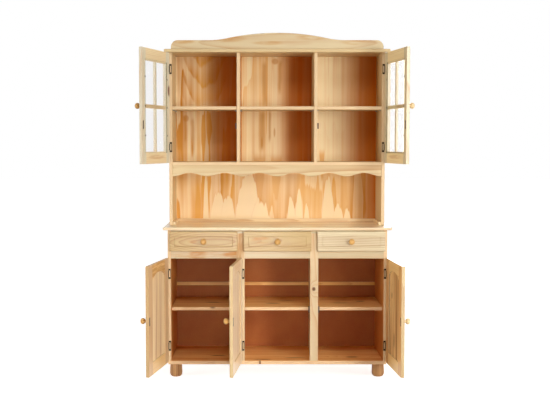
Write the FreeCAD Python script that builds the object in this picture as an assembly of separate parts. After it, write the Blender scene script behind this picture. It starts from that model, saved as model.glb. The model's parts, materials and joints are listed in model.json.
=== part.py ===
import FreeCAD, Part
import math
import os

# Driving sizes in millimetres. X runs to the right, Y to the back, Z up from the floor.
base_width = 1200.0
base_depth = 400.0
board = 18.0
foot_height = 74.0
bottom_thickness = 20.0
door_opening_height = 566.0
drawer_rail_height = 44.0
drawer_opening_height = 112.0
stile_width = 45.0
counter_thickness = 16.0
end_overhang = 25.0
counter_front_overhang = 20.0
counter_corner = 10.0
counter_edge = 6.0
base_shelf_height = 275.0
base_shelf_setback = 32.0
stretcher_depth = 60.0
hardboard = 4.0
back_inset = 2.0
batten_height = 18.0
batten_thickness = 10.0
batten_above_bottom = 364.0
hutch_depth = 270.0
niche_height = 335.0
lower_shelf_space = 291.0
upper_shelf_space = 296.0
hutch_shelf_setback = 4.0
plywood = 5.0
top_front_overhang = 25.0
top_corner = 8.0
top_edge = 4.0
crown_shoulder = 48.0
crown_middle = 88.0
crown_half_width = 586.0
crown_end_radius = 38.0
crown_curve_start = 375.0
crown_curve_turn = 278.0
crown_setback = 5.0
valance_depth = 62.0
valance_wave = 20.0
valance_arches = 6
valance_points = 12
valance_setback = 3.0
cleat_height = 18.0
cleat_thickness = 14.0
cleat_front_inset = 6.0
cleat_ease = 2.0
door_overlay_hinge = 11.0
door_overlay_free = 6.0
door_overlay_ends = 4.0
door_gap = 1.5
door_round = 3.0
upper_door_drop = 5.0
upper_door_top_gap = 3.0
lower_stile = 68.0
lower_bottom_rail = 66.0
arch_side = 80.0
arch_middle = 50.0
panel_thickness = 8.0
panel_setback = 5.0
panel_float = 0.3
tongue = 8.0
tenon_shoulder = 10.0
tenon_height = 30.0
mortise_spare = 0.5
upper_stile = 48.0
upper_rail = 64.0
bar_width = 20.0
bar_thickness = 11.0
pane_thickness = 4.0
pane_lap = 8.0
pane_proud = 1.3
pane_play = 0.5
clip_length = 7.0
clip_hold = 3.5
clip_width = 8.0
clip_thickness = 1.0
clip_inset = 150.0
knuckle_radius = 3.6
knuckle_play = 0.1
hinge_pin_radius = 1.6
hinge_pin_tail = 0.6
hinge_pin_head_rim = 0.7
hinge_pin_head_height = 0.8
hinge_height = 55.0
hinge_end_height = 9.0
leaf_width = 13.5
leaf_frame_strip = 2.8
leaf_thickness = 1.2
hinge_inset = 88.0
strike_width = 14.0
strike_height = 44.0
strike_inset = 12.0
catch_width = 8.0
catch_depth = 26.0
catch_height = 32.0
catch_ease = 1.0
upper_catch_below_middle = 98.0
drawer_overlay = 6.0
drawer_front_height = 108.0
drawer_front_drop = 3.0
drawer_front_round = 5.0
drawer_gap = 0.5
drawer_side = 12.0
drawer_side_height = 85.0
drawer_length = 345.0
drawer_bottom = 4.0
drawer_play = 4.0
drawer_lift = 1.0
drawer_rest_gap = 0.5
drawer_groove_height = 8.0
routed_inset = 27.0
routed_width = 4.0
routed_depth = 2.0
runner_width = 20.0
runner_height = 20.0
runner_back_gap = 6.0
guide_gap = 2.0
guide_least = 5.0
guide_height = 22.0
knob_radius = 16.0
knob_reach = 34.0
knob_ball_height = 24.0
knob_neck_radius = 6.7
knob_neck_start = 7.5
knob_collar_radius = 8.8
knob_collar_height = 2.0
knob_spigot = 4.0
knob_spigot_length = 12.0
knob_inset = 28.0
foot_radius = 35.0
foot_belly_height = 22.0
foot_top_inset = 4.0
foot_toe_inset = 5.0
foot_toe_height = 5.0
foot_sole_inset = 11.0
foot_inset_end = 40.0
foot_inset_depth = 47.0
foot_spigot = 12.0
foot_spigot_length = 12.0
shelf_pin_radius = 2.5
shelf_pin_reach = 10.0
shelf_pin_depth = 8.0
base_pin_front_inset = 45.0
base_pin_back_inset = 60.0
hutch_pin_inset = 50.0
running_clearance = 0.05
nest_clearance = 0.3
loose_fit = 1.0
ease = 1.2
stile_ease = 0.8
hole_spare = 0.5
groove_spare = 0.2
groove_play = 0.1
cut_start = 2.0
tiny = 0.01

# How far each door stands open, in degrees, with the drawers shut.
open_angle = {"lower_left": 100.5, "lower_middle": 96.5, "lower_right": 94.5,
              "upper_left": 107.0, "upper_right": 100.0}

# Planes that follow from the sizes above.
front = -base_depth / 2
back = base_depth / 2
inner = base_width / 2 - board
bottom_top = foot_height + bottom_thickness
door_opening_top = bottom_top + door_opening_height
drawer_floor = door_opening_top + drawer_rail_height
counter_under = drawer_floor + drawer_opening_height
counter_top = counter_under + counter_thickness
opening = (2 * inner - 2 * stile_width) / 3
stile_outer = inner - opening
stile_inner = stile_outer - stile_width
divider_centre = (stile_outer + stile_inner) / 2
carcass_back = back - hardboard
hutch_front = back - hutch_depth
hutch_back = back - plywood
hutch_floor_under = counter_top + niche_height
hutch_floor = hutch_floor_under + board
middle_shelf_under = hutch_floor + lower_shelf_space
middle_shelf_top = middle_shelf_under + board
top_under = middle_shelf_top + upper_shelf_space
top_upper = top_under + board
pivot_standoff = knuckle_radius + knuckle_play
hinge_edge = knuckle_radius + nest_clearance
door_width = opening + door_overlay_hinge + door_overlay_free
door_back = pivot_standoff - door_gap
door_front = door_back - board
free_edge = hinge_edge + door_width
bays = [(-inner, -stile_outer), (-stile_inner, stile_inner), (stile_outer, inner)]
hutch_bays = [(-inner, -stile_outer), (-stile_outer + board, stile_outer - board), (stile_outer, inner)]

V = FreeCAD.Vector
pieces = {}


def block(x0, x1, y0, y1, z0, z1):
    return Part.makeBox(x1 - x0, y1 - y0, z1 - z0, V(x0, y0, z0))


def straight_edges(shape, test):
    picked = []
    for edge in shape.Edges:
        if test(edge.BoundBox):
            picked.append(edge)
    return picked


def ease_front(shape, size=ease):
    plane = shape.BoundBox.YMin + tiny
    return shape.makeChamfer(size, straight_edges(shape, lambda b: b.YMax < plane))


def ease_outline(shape, corner, edge_radius):
    box = shape.BoundBox
    corners = straight_edges(shape, lambda b: b.ZLength > 1 and b.YMax < box.YMin + tiny)
    shape = shape.makeFillet(corner, corners)
    rim = straight_edges(shape, lambda b: b.ZLength < tiny and b.YMin < box.YMax - tiny)
    return shape.makeFillet(edge_radius, rim)


def rod(x, y, z, radius, length, direction):
    return Part.makeCylinder(radius, length, V(x, y, z), direction)


def turned(points, arcs):
    """Solid of revolution about Z; arcs maps a segment's first point number to its middle point."""
    edges = []
    for number in range(len(points) - 1):
        a = V(points[number][0], 0, points[number][1])
        b = V(points[number + 1][0], 0, points[number + 1][1])
        if number in arcs:
            edges.append(Part.Arc(a, V(arcs[number][0], 0, arcs[number][1]), b).toShape())
        else:
            edges.append(Part.makeLine(a, b))
    face = Part.Face(Part.Wire(edges))
    return face.revolve(V(0, 0, 0), V(0, 0, 1), 360)


def moved(shape, x, y, z):
    copy = shape.copy()
    copy.translate(V(x, y, z))
    return copy


# Base carcass: sides stand on the full-width bottom board, which the feet carry.
foot_centres = []
for sx in (-1, 1):
    for sy in (-1, 1):
        x = sx * (base_width / 2 - foot_inset_end)
        y = sy * (base_depth / 2 - foot_inset_depth)
        foot_centres.append((x, y))


def belly_inset(end_inset, end_height, height):
    """How far a round belly has drawn in at a height from its widest place."""
    radius = (end_inset ** 2 + end_height ** 2) / (2 * end_inset)
    return radius - math.sqrt(radius ** 2 - height ** 2)


toe_drop = foot_belly_height - foot_toe_height
top_rise = foot_height - foot_belly_height
toe_middle = foot_radius - belly_inset(foot_toe_inset, toe_drop, toe_drop / 2)
top_middle = foot_radius - belly_inset(foot_top_inset, top_rise, top_rise / 2)
foot = turned([(0, 0), (foot_radius - foot_sole_inset, 0), (foot_radius - foot_toe_inset, foot_toe_height),
               (foot_radius, foot_belly_height), (foot_radius - foot_top_inset, foot_height),
               (foot_spigot, foot_height), (foot_spigot, foot_height + foot_spigot_length),
               (0, foot_height + foot_spigot_length), (0, 0)],
              {2: (toe_middle, foot_belly_height - toe_drop / 2),
               3: (top_middle, foot_belly_height + top_rise / 2)})
pieces["bun_feet"] = [moved(foot, x, y, 0) for x, y in foot_centres]

bottom = block(-base_width / 2, base_width / 2, front, carcass_back, foot_height, bottom_top)
for x, y in foot_centres:
    bottom = bottom.cut(rod(x, y, foot_height, foot_spigot + running_clearance,
                            foot_spigot_length + hole_spare, V(0, 0, 1)))
pieces["base_bottom"] = [ease_front(bottom)]

pin_rows_base = (front + base_shelf_setback + base_pin_front_inset, carcass_back - base_pin_back_inset)
pin_rows_hutch = (hutch_front + hutch_pin_inset, hutch_back - hutch_pin_inset)
base_shelf_under = bottom_top + base_shelf_height
pin_drop = shelf_pin_radius + running_clearance
pin_sites = []


def shelf_pins(bay, rows, under):
    for y in rows:
        pin_sites.append((bay[0], y, under - pin_drop, 1))
        pin_sites.append((bay[1], y, under - pin_drop, -1))


panel_half = board / 2
base_panel_bays = [(-inner, -divider_centre - panel_half),
                   (-divider_centre + panel_half, divider_centre - panel_half),
                   (divider_centre + panel_half, inner)]
for bay in base_panel_bays:
    shelf_pins(bay, pin_rows_base, base_shelf_under)
for bay in hutch_bays:
    shelf_pins(bay, pin_rows_hutch, middle_shelf_under)


def bored_for_pins(shape):
    for x, y, z, way in pin_sites:
        hole = rod(x + way * cut_start, y, z, shelf_pin_radius + running_clearance,
                   shelf_pin_depth + cut_start + hole_spare, V(-way, 0, 0))
        if shape.BoundBox.intersect(hole.BoundBox):
            shape = shape.cut(hole)
    return shape


pieces["shelf_pins"] = [rod(x + way * shelf_pin_reach, y, z, shelf_pin_radius,
                            shelf_pin_reach + shelf_pin_depth, V(-way, 0, 0))
                        for x, y, z, way in pin_sites]

left_side = block(-base_width / 2, -inner, front, carcass_back, bottom_top, counter_under)
right_side = block(inner, base_width / 2, front, carcass_back, bottom_top, counter_under)
pieces["base_side_left"] = [bored_for_pins(ease_front(left_side))]
pieces["base_side_right"] = [bored_for_pins(ease_front(right_side))]

stretcher_under = counter_under - board
stile_back = front + board
uprights = []
for centre in (-divider_centre, divider_centre):
    stile = block(centre - stile_width / 2, centre + stile_width / 2, front, stile_back,
                  bottom_top, stretcher_under)
    panel = block(centre - panel_half, centre + panel_half, stile_back, carcass_back,
                  bottom_top, stretcher_under)
    uprights.append(ease_front(stile, stile_ease))
    uprights.append(bored_for_pins(panel))
pieces["base_dividers"] = uprights

cross_members = []
for x0, x1 in bays:
    rail = block(x0, x1, front, stile_back, door_opening_top, drawer_floor)
    cross_members.append(ease_front(rail, stile_ease))
for y0, y1 in ((front, front + stretcher_depth), (carcass_back - stretcher_depth, carcass_back)):
    cross_members.append(block(-inner, inner, y0, y1, stretcher_under, counter_under))
pieces["drawer_rails"] = cross_members

batten_under = bottom_top + batten_above_bottom
batten_middle = batten_under + batten_height / 2
back_half = base_width / 2 - back_inset
pieces["base_back_lower"] = [block(-back_half, back_half, carcass_back, back,
                                   foot_height + back_inset, batten_middle)]
pieces["base_back_upper"] = [block(-back_half, back_half, carcass_back, back,
                                   batten_middle, counter_under)]
pieces["base_back_batten"] = [block(x0, x1, carcass_back - batten_thickness, carcass_back,
                                    batten_under, batten_under + batten_height)
                              for x0, x1 in base_panel_bays]
pieces["base_shelves"] = [ease_front(block(x0 + loose_fit, x1 - loose_fit, front + base_shelf_setback,
                                           carcass_back - loose_fit, base_shelf_under,
                                           base_shelf_under + board))
                          for x0, x1 in base_panel_bays]

# Drawer runners carry the drawer sides; a guide stands on each runner that is fixed to a divider.
runner_top = drawer_floor + drawer_lift
runner_back = carcass_back - runner_back_gap
box_half = opening / 2 - drawer_play
runners = []
for (x0, x1), (p0, p1) in zip(bays, base_panel_bays):
    middle = (x0 + x1) / 2
    for wall, way in ((p0, 1), (p1, -1)):
        edge = middle - way * box_half
        reach = edge + way * runner_width
        low, high = sorted((wall, reach))
        runner = block(low, high, stile_back, runner_back, runner_top - runner_height, runner_top)
        guide_face = edge - way * guide_gap
        if abs(guide_face - wall) > guide_least:
            low, high = sorted((wall, guide_face))
            guide = block(low, high, stile_back, runner_back,
                          runner_top - runner_height, runner_top + guide_height)
            runner = runner.fuse(guide).removeSplitter()
        runners.append(runner)
pieces["drawer_runners"] = runners

counter = block(-base_width / 2 - end_overhang, base_width / 2 + end_overhang,
                front - counter_front_overhang, back, counter_under, counter_top)
pieces["countertop"] = [ease_outline(counter, counter_corner, counter_edge)]

# Hutch: stands on the countertop, flush at the back.
hutch_left = block(-base_width / 2, -inner, hutch_front, hutch_back, counter_top, top_under)
hutch_right = block(inner, base_width / 2, hutch_front, hutch_back, counter_top, top_under)
pieces["hutch_side_left"] = [bored_for_pins(ease_front(hutch_left))]
pieces["hutch_side_right"] = [bored_for_pins(ease_front(hutch_right))]
pieces["hutch_bottom_shelf"] = [ease_front(block(-inner, inner, hutch_front, hutch_back,
                                                 hutch_floor_under, hutch_floor))]
dividers = []
for x0 in (-stile_outer, stile_outer - board):
    divider = block(x0, x0 + board, hutch_front, hutch_back, hutch_floor, top_under)
    dividers.append(bored_for_pins(ease_front(divider)))
pieces["hutch_dividers"] = dividers
pieces["hutch_shelves"] = [ease_front(block(x0 + loose_fit / 2, x1 - loose_fit / 2,
                                            hutch_front + hutch_shelf_setback, hutch_back - loose_fit,
                                            middle_shelf_under, middle_shelf_top))
                           for x0, x1 in hutch_bays]
pieces["hutch_back"] = [block(-back_half, back_half, hutch_back, back, counter_top, top_under)]
hutch_top = block(-base_width / 2 - end_overhang, base_width / 2 + end_overhang,
                  hutch_front - top_front_overhang, back, top_under, top_upper)
pieces["hutch_top"] = [ease_outline(hutch_top, top_corner, top_edge)]

cleat_back = hutch_back - cleat_thickness
cleats = [block(-inner, inner, cleat_back, hutch_back, counter_top, counter_top + cleat_height)]
for x0 in (-inner, inner - cleat_thickness):
    cleats.append(block(x0, x0 + cleat_thickness, hutch_front + cleat_front_inset, cleat_back,
                        counter_top, counter_top + cleat_height))
pieces["hutch_cleats"] = [ease_front(cleat, cleat_ease) for cleat in cleats]

# Crown: a board whose upper edge rises from the shoulders in a double curve.
rise = crown_middle - crown_shoulder
slope = 2 * math.atan(rise / crown_curve_start)
hollow_run = crown_curve_start - crown_curve_turn
hollow_radius = hollow_run / math.sin(slope)
round_radius = crown_curve_turn / math.sin(slope)
turn_height = crown_shoulder + hollow_radius * (1 - math.cos(slope))
half_hollow = hollow_radius * math.sin(slope / 2)
half_lift = crown_shoulder + hollow_radius * (1 - math.cos(slope / 2))
crown_front = hutch_front - top_front_overhang + crown_setback
corner_cut = crown_end_radius * (1 - math.sqrt(0.5))
outline = []


def crown_point(x, z):
    return V(x, crown_front, top_upper + z)


ends = crown_half_width
shoulder_end = crown_half_width - crown_end_radius
outline.append(Part.makeLine(crown_point(-ends, 0), crown_point(ends, 0)))
for way in (1, -1):
    side_edges = [
        Part.makeLine(crown_point(way * ends, 0), crown_point(way * ends, crown_shoulder - crown_end_radius)),
        Part.Arc(crown_point(way * ends, crown_shoulder - crown_end_radius),
                 crown_point(way * (ends - corner_cut), crown_shoulder - corner_cut),
                 crown_point(way * shoulder_end, crown_shoulder)).toShape(),
        Part.makeLine(crown_point(way * shoulder_end, crown_shoulder),
                      crown_point(way * crown_curve_start, crown_shoulder)),
        Part.Arc(crown_point(way * crown_curve_start, crown_shoulder),
                 crown_point(way * (crown_curve_start - half_hollow), half_lift),
                 crown_point(way * crown_curve_turn, turn_height)).toShape()]
    outline.extend(side_edges)
outline.append(Part.Arc(crown_point(-crown_curve_turn, turn_height), crown_point(0, crown_middle),
                        crown_point(crown_curve_turn, turn_height)).toShape())
crown_wire = Part.Wire(Part.__sortEdges__(outline))
pieces["hutch_crown"] = [ease_front(Part.Face(crown_wire).extrude(V(0, board, 0)))]

# Valance: scalloped lower edge, lowest at both ends.
wave = []
steps = valance_arches * valance_points
for number in range(steps + 1):
    x = -inner + 2 * inner * number / steps
    turn = 2 * math.pi * valance_arches * number / steps
    drop = valance_depth - valance_wave * (1 - math.cos(turn)) / 2
    wave.append(V(x, hutch_front + valance_setback, hutch_floor_under - drop))
scallop = Part.BSplineCurve()
scallop.interpolate(wave)
upper_left = V(-inner, hutch_front + valance_setback, hutch_floor_under)
upper_right = V(inner, hutch_front + valance_setback, hutch_floor_under)
valance_wire = Part.Wire([Part.makeLine(upper_left, wave[0]), scallop.toShape(),
                          Part.makeLine(wave[-1], upper_right), Part.makeLine(upper_right, upper_left)])
pieces["hutch_valance"] = [Part.Face(valance_wire).extrude(V(0, board, 0))]

# Turned knob, built along Z with its spigot below the mounting face: a collar, a neck and a flattened ball.
ball_radius = knob_ball_height / 2
ball_middle = knob_reach - ball_radius
ball_flat = knob_radius - ball_radius
neck_end = ball_middle - math.sqrt(ball_radius ** 2 - (knob_neck_radius - ball_flat) ** 2)
knob = turned([(0, -knob_spigot_length), (knob_spigot, -knob_spigot_length), (knob_spigot, 0),
               (knob_collar_radius, 0), (knob_collar_radius, knob_collar_height),
               (knob_neck_radius, knob_neck_start), (knob_neck_radius, neck_end),
               (ball_flat, knob_reach), (0, knob_reach), (0, -knob_spigot_length)],
              {6: (knob_radius, ball_middle)})


def knob_at(x, face, z):
    turned_knob = knob.copy()
    turned_knob.rotate(V(0, 0, 0), V(1, 0, 0), 90)
    return moved(turned_knob, x, face, z)


def knob_hole(x, face, z):
    return rod(x, face - cut_start, z, knob_spigot + running_clearance,
               knob_spigot_length + cut_start + hole_spare, V(0, 1, 0))


def routed_line(x0, x1, z0, z1, face):
    half = routed_width / 2
    flank = math.hypot(half, routed_depth)
    cutters = []
    for a, b in (((x0, z0), (x1, z0)), ((x0, z1), (x1, z1)), ((x0, z0), (x0, z1)), ((x1, z0), (x1, z1))):
        along_x = a[1] == b[1]
        side = V(0, 0, half) if along_x else V(half, 0, 0)
        run = V(1, 0, 0) if along_x else V(0, 0, 1)
        start = V(a[0], face, a[1]) - run * half
        corners = [start - side, start + V(0, routed_depth, 0), start + side, start - side]
        length = math.dist(a, b) + routed_width
        cutters.append(Part.Face(Part.makePolygon(corners)).extrude(run * length))
    return cutters


# Drawers: a lipped front, a box with a grooved-in bottom, and a knob.
front_back = front - drawer_gap
front_face = front_back - board
front_low = drawer_floor - drawer_front_drop
front_high = front_low + drawer_front_height
box_low = runner_top + drawer_rest_gap
box_high = box_low + drawer_side_height
box_end = front_back + drawer_length
groove_low = box_low + drawer_groove_height
groove_depth = drawer_side / 2
for name, (x0, x1) in zip(("left", "middle", "right"), bays):
    middle = (x0 + x1) / 2
    knob_height = (front_low + front_high) / 2
    panel = block(x0 - drawer_overlay, x1 + drawer_overlay, front_face, front_back, front_low, front_high)
    rim = straight_edges(panel, lambda b: b.YMax < front_face + tiny)
    panel = panel.makeFillet(drawer_front_round, rim)
    for cutter in routed_line(x0 - drawer_overlay + routed_inset, x1 + drawer_overlay - routed_inset,
                              front_low + routed_inset, front_high - routed_inset, front_face):
        panel = panel.cut(cutter)
    panel = panel.cut(knob_hole(middle, front_face, knob_height))
    pieces["drawer_" + name + "_front"] = [panel]
    left = middle - box_half
    right = middle + box_half
    bottom = block(left + groove_depth, right - groove_depth, front_back, box_end - groove_depth,
                   groove_low, groove_low + drawer_bottom)
    slot = block(left + groove_depth - groove_spare, right - groove_depth + groove_spare,
                 front_back - cut_start, box_end - groove_depth + groove_spare,
                 groove_low - groove_play, groove_low + drawer_bottom + groove_play)
    sides = [block(left, left + drawer_side, front_back, box_end, box_low, box_high),
             block(right - drawer_side, right, front_back, box_end, box_low, box_high),
             block(left + drawer_side, right - drawer_side, box_end - drawer_side, box_end,
                   box_low, box_high)]
    pieces["drawer_" + name + "_box"] = [side.cut(slot) for side in sides] + [bottom]
    pieces["drawer_" + name + "_knob"] = [knob_at(middle, front_face, knob_height)]

# Doors are made shut, with the hinge axis at the origin and the free edge to the right.
pivots = {"lower_left": (-1, -inner, front), "lower_middle": (-1, -stile_inner, front),
          "lower_right": (1, inner, front), "upper_left": (-1, -inner, hutch_front),
          "upper_right": (1, inner, hutch_front)}
lower_low = bottom_top - door_overlay_ends
lower_high = door_opening_top + door_overlay_ends
upper_low = hutch_floor - upper_door_drop
upper_high = top_under - upper_door_top_gap


def door_span(name):
    if name.startswith("lower"):
        return lower_low, lower_high
    return upper_low, upper_high


def set_in_place(shape, name, angle):
    hand, edge, plane = pivots[name]
    placed = shape.copy()
    if hand > 0:
        placed = placed.mirror(V(0, 0, 0), V(1, 0, 0))
    placed.rotate(V(0, 0, 0), V(0, 0, 1), hand * angle)
    axis_x = edge + hand * (door_overlay_hinge + hinge_edge)
    placed.translate(V(axis_x, plane - pivot_standoff, 0))
    return placed


def knuckle(z0, z1):
    return rod(0, 0, z0, knuckle_radius, z1 - z0, V(0, 0, 1))


def hinge_bore(z):
    return rod(0, 0, z - hinge_height, hinge_pin_radius + running_clearance, 2 * hinge_height, V(0, 0, 1))


def frame_leaf(z):
    half = hinge_height / 2
    inner_half = half - hinge_end_height
    plate = block(0, leaf_width, pivot_standoff - leaf_thickness, pivot_standoff, z - half, z + half)
    window = block(-cut_start, leaf_width - leaf_frame_strip, 0, 2 * pivot_standoff,
                   z - inner_half, z + inner_half)
    leaf = plate.cut(window)
    leaf = leaf.fuse(knuckle(z - half, z - inner_half)).fuse(knuckle(z + inner_half, z + half))
    return leaf.removeSplitter().cut(hinge_bore(z))


def door_leaf(z):
    half = hinge_height / 2 - hinge_end_height - nest_clearance
    plate = block(0, leaf_width - leaf_frame_strip - nest_clearance, door_back, door_back + leaf_thickness,
                  z - half, z + half)
    return plate.fuse(knuckle(z - half, z + half)).removeSplitter().cut(hinge_bore(z))


def hinge_pin(z):
    half = hinge_height / 2
    pin = rod(0, 0, z - half - hinge_pin_tail, hinge_pin_radius, hinge_height + hinge_pin_tail, V(0, 0, 1))
    head = rod(0, 0, z + half, hinge_pin_radius + hinge_pin_head_rim, hinge_pin_head_height, V(0, 0, 1))
    return pin.fuse(head).removeSplitter()


def hinge_heights(name):
    low, high = door_span(name)
    return low + hinge_inset, high - hinge_inset


def arched(x0, x1, z0, z_side, z_middle, y0, y1):
    corners = [V(x0, y0, z_side), V(x0, y0, z0), V(x1, y0, z0), V(x1, y0, z_side)]
    edges = [Part.makeLine(corners[n], corners[n + 1]) for n in range(3)]
    edges.append(Part.Arc(corners[3], V((x0 + x1) / 2, y0, z_middle), corners[0]).toShape())
    return Part.Face(Part.Wire(edges)).extrude(V(0, y1 - y0, 0))


def rounded_outside(shape, low, high):
    box = shape.BoundBox
    face = box.YMin + tiny
    edges = []
    for edge in shape.Edges:
        b = edge.BoundBox
        if b.YMax > face:
            continue
        on_side = b.XLength < tiny and (abs(b.XMin - hinge_edge) < tiny or abs(b.XMin - free_edge) < tiny)
        on_end = b.ZLength < tiny and (abs(b.ZMin - low) < tiny or abs(b.ZMin - high) < tiny)
        if on_side or on_end:
            edges.append(edge)
    return shape.makeFillet(door_round, edges)


panel_y0 = door_front + panel_setback
panel_y1 = panel_y0 + panel_thickness


def stiles_and_rails(low, high, stile, bottom_rail, top_rail):
    """Two stiles, with the rails' tenons let into them."""
    left = block(hinge_edge, hinge_edge + stile, door_front, door_back, low, high)
    right = block(free_edge - stile, free_edge, door_front, door_back, low, high)
    stiles = [rounded_outside(left, low, high), rounded_outside(right, low, high)]
    rails = []
    for rail, tenon_low in ((bottom_rail, low + tenon_shoulder),
                            (top_rail, high - tenon_shoulder - tenon_height)):
        box = rail.BoundBox
        tenon_high = tenon_low + tenon_height
        tenon = block(box.XMin - tongue, box.XMax + tongue, panel_y0, panel_y1, tenon_low, tenon_high)
        mortise = block(box.XMin - tongue - mortise_spare, box.XMax + tongue + mortise_spare,
                        panel_y0 - groove_play, panel_y1 + groove_play,
                        tenon_low - groove_spare, tenon_high + groove_spare)
        stiles = [member.cut(mortise) for member in stiles]
        rails.append(rounded_outside(rail, low, high).fuse(tenon).removeSplitter())
    return stiles, rails


frame_leaves = []
hinge_pins = []
for name in pivots:
    low, high = door_span(name)
    middle_height = (low + high) / 2
    stile = lower_stile if name.startswith("lower") else upper_stile
    x0 = hinge_edge + stile
    x1 = free_edge - stile
    knob_x = free_edge - knob_inset
    hardware = []
    for z in hinge_heights(name):
        frame_leaves.append(set_in_place(frame_leaf(z), name, 0))
        hinge_pins.append(set_in_place(hinge_pin(z), name, 0))
        hardware.append(door_leaf(z))
    strike_middle = middle_height
    built = {}
    if name.startswith("lower"):
        bottom_rail = block(x0, x1, door_front, door_back, low, low + lower_bottom_rail)
        top_rail = block(x0, x1, door_front, door_back, high - arch_side, high)
        hollow = arched(x0, x1, low, high - arch_side, high - arch_middle,
                        door_front - cut_start, door_back + cut_start)
        stiles, rails = stiles_and_rails(low, high, stile, bottom_rail, top_rail.cut(hollow))
        panel = arched(x0 - tongue, x1 + tongue, low + lower_bottom_rail - tongue, high - arch_side + tongue,
                       high - arch_middle + tongue, panel_y0, panel_y1)
        groove_reach = tongue + panel_float
        groove = arched(x0 - groove_reach, x1 + groove_reach, low + lower_bottom_rail - groove_reach,
                        high - arch_side + groove_reach, high - arch_middle + groove_reach,
                        panel_y0 - groove_play, panel_y1 + groove_play)
        built["stiles"] = [member.cut(groove) for member in stiles]
        built["rails"] = [member.cut(groove) for member in rails]
        built["panel"] = [panel]
    else:
        strike_middle = middle_height - upper_catch_below_middle
        bottom_rail = block(x0, x1, door_front, door_back, low, low + upper_rail)
        top_rail = block(x0, x1, door_front, door_back, high - upper_rail, high)
        stiles, rails = stiles_and_rails(low, high, stile, bottom_rail, top_rail)
        pane_front = door_back + pane_proud - pane_thickness
        pane_box = (x0 - pane_lap, x1 + pane_lap, low + upper_rail - pane_lap, high - upper_rail + pane_lap)
        pane = block(pane_box[0] + pane_play, pane_box[1] - pane_play,
                     pane_front, pane_front + pane_thickness,
                     pane_box[2] + pane_play, pane_box[3] - pane_play)
        rebate = block(pane_box[0], pane_box[1], pane_front, door_back + cut_start, pane_box[2], pane_box[3])
        bar_y0 = pane_front - bar_thickness
        bar_middle = (x0 + x1) / 2
        across = block(x0, x1, bar_y0, pane_front,
                       middle_height - bar_width / 2, middle_height + bar_width / 2)
        upright_low = block(bar_middle - bar_width / 2, bar_middle + bar_width / 2, bar_y0, pane_front,
                            low + upper_rail, middle_height - bar_width / 2)
        upright_high = block(bar_middle - bar_width / 2, bar_middle + bar_width / 2, bar_y0, pane_front,
                             middle_height + bar_width / 2, high - upper_rail)
        built["stiles"] = [member.cut(rebate) for member in stiles] + [upright_low, upright_high]
        built["rails"] = [member.cut(rebate) for member in rails] + [across]
        built["glass"] = [pane]
        clip_y0 = door_back + pane_proud
        clip_half = clip_width / 2
        for z in (low + clip_inset, middle_height, high - clip_inset):
            for edge, way in ((pane_box[0], 1), (pane_box[1], -1)):
                a, b = sorted((edge - way * clip_length, edge + way * clip_hold))
                clip = block(a, b, clip_y0, clip_y0 + clip_thickness, z - clip_half, z + clip_half)
                a, b = sorted((edge - way * clip_length, edge - way * pane_play))
                foot_pad = block(a, b, door_back, clip_y0 + clip_thickness, z - clip_half, z + clip_half)
                hardware.append(clip.fuse(foot_pad).removeSplitter())
    strike_x = free_edge - strike_inset
    hardware.append(block(strike_x - strike_width / 2, strike_x + strike_width / 2, door_back,
                          door_back + leaf_thickness, strike_middle - strike_height / 2,
                          strike_middle + strike_height / 2))
    bored = []
    for member in built["stiles"]:
        bored.append(member.cut(knob_hole(knob_x, door_front, middle_height)))
    built["stiles"] = bored
    built["knob"] = [knob_at(knob_x, door_front, middle_height)]
    built["hardware"] = hardware
    for piece, solids in built.items():
        pieces["door_" + name + "_" + piece] = [set_in_place(solid, name, open_angle[name])
                                                for solid in solids]
pieces["hinge_frame_leaves"] = frame_leaves
pieces["hinge_pins"] = hinge_pins

# Magnetic catches stand behind the strike plates of the shut doors.
lower_catch_middle = (lower_low + lower_high) / 2
upper_catch_middle = (upper_low + upper_high) / 2 - upper_catch_below_middle
catch_sites = [(-stile_outer - catch_width, front, lower_catch_middle),
               (stile_inner - catch_width, front, lower_catch_middle),
               (stile_outer, front, lower_catch_middle),
               (-stile_outer - catch_width, hutch_front, upper_catch_middle),
               (stile_outer, hutch_front, upper_catch_middle)]
pieces["magnetic_catches"] = [ease_front(block(x, x + catch_width, y, y + catch_depth,
                                               z - catch_height / 2, z + catch_height / 2), catch_ease)
                              for x, y, z in catch_sites]

os.makedirs("parts", exist_ok=True)
for name, solids in pieces.items():
    shape = solids[0] if len(solids) == 1 else Part.makeCompound(solids)
    shape.exportStep("parts/" + name + ".step")
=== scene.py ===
import json
import math

import bpy
from mathutils import Matrix, Vector


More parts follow.
